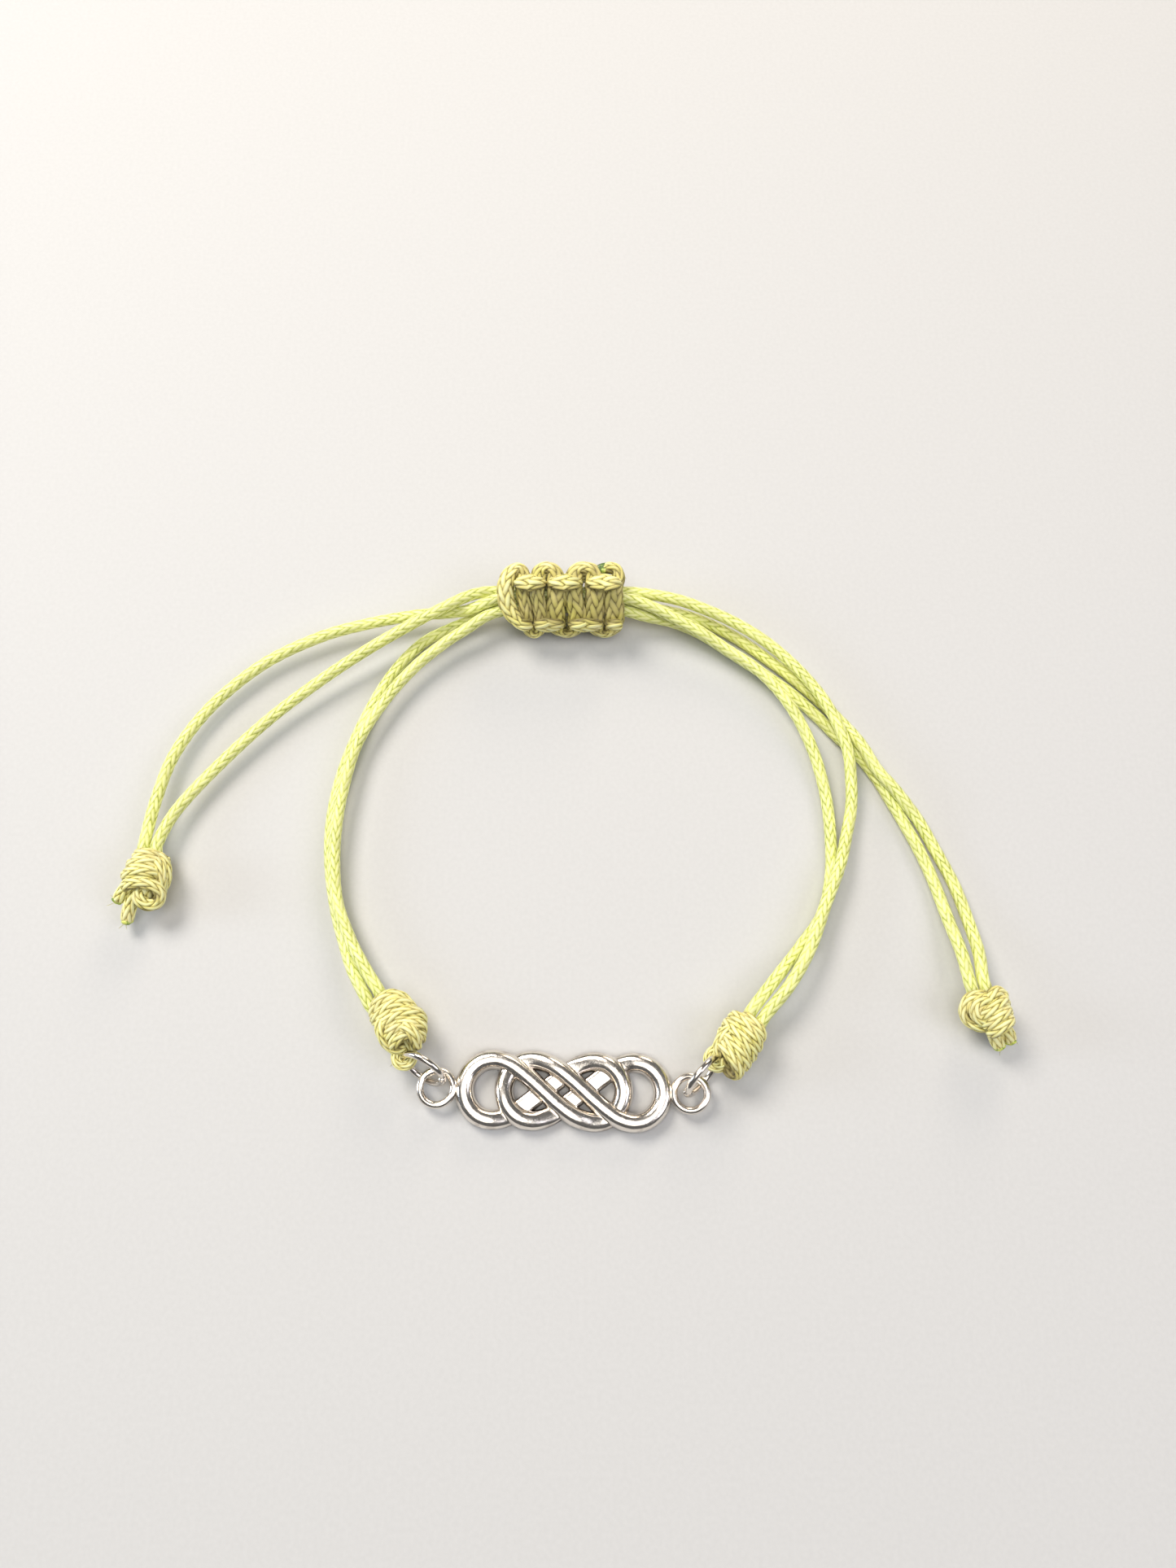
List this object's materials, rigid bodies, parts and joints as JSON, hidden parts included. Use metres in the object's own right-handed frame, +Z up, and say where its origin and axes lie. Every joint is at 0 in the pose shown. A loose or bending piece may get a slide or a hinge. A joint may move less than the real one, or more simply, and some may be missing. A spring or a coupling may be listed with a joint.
{
  "type": "rope bracelet",
  "caption": "Doubled braided cord bracelet with a cast interlaced infinity charm on jump rings, a square-knot sliding closure and knotted tails.",
  "frame": {"origin": "middle of the closed loop at the surface it lies on", "axes": "+Z up from the surface, +Y from the charm to the sliding knot, +X to the right seen from above"},
  "size_m": [0.1017, 0.0667, 0.008],
  "materials": {
    "cord": "waxed braid, satin",
    "knotted_cord": "waxed braid drawn tight, satin",
    "silver": "polished silver plate, lightly worn"
  },
  "bodies": {
    "root": {"charm": "silver", "jump_ring_left": "silver", "jump_ring_right": "silver", "ring_knot_left": "knotted_cord", "ring_knot_right": "knotted_cord", "band_cord_left_outer": "cord", "band_cord_left_inner": "cord", "band_cord_right_outer": "cord", "band_cord_right_inner": "cord", "sliding_knot": "knotted_cord", "tail_cord_left_a": "cord", "tail_cord_left_b": "cord", "tail_cord_right_a": "cord", "tail_cord_right_b": "cord", "end_knot_left": "knotted_cord", "end_knot_right": "knotted_cord"}
  },
  "joints": []
}
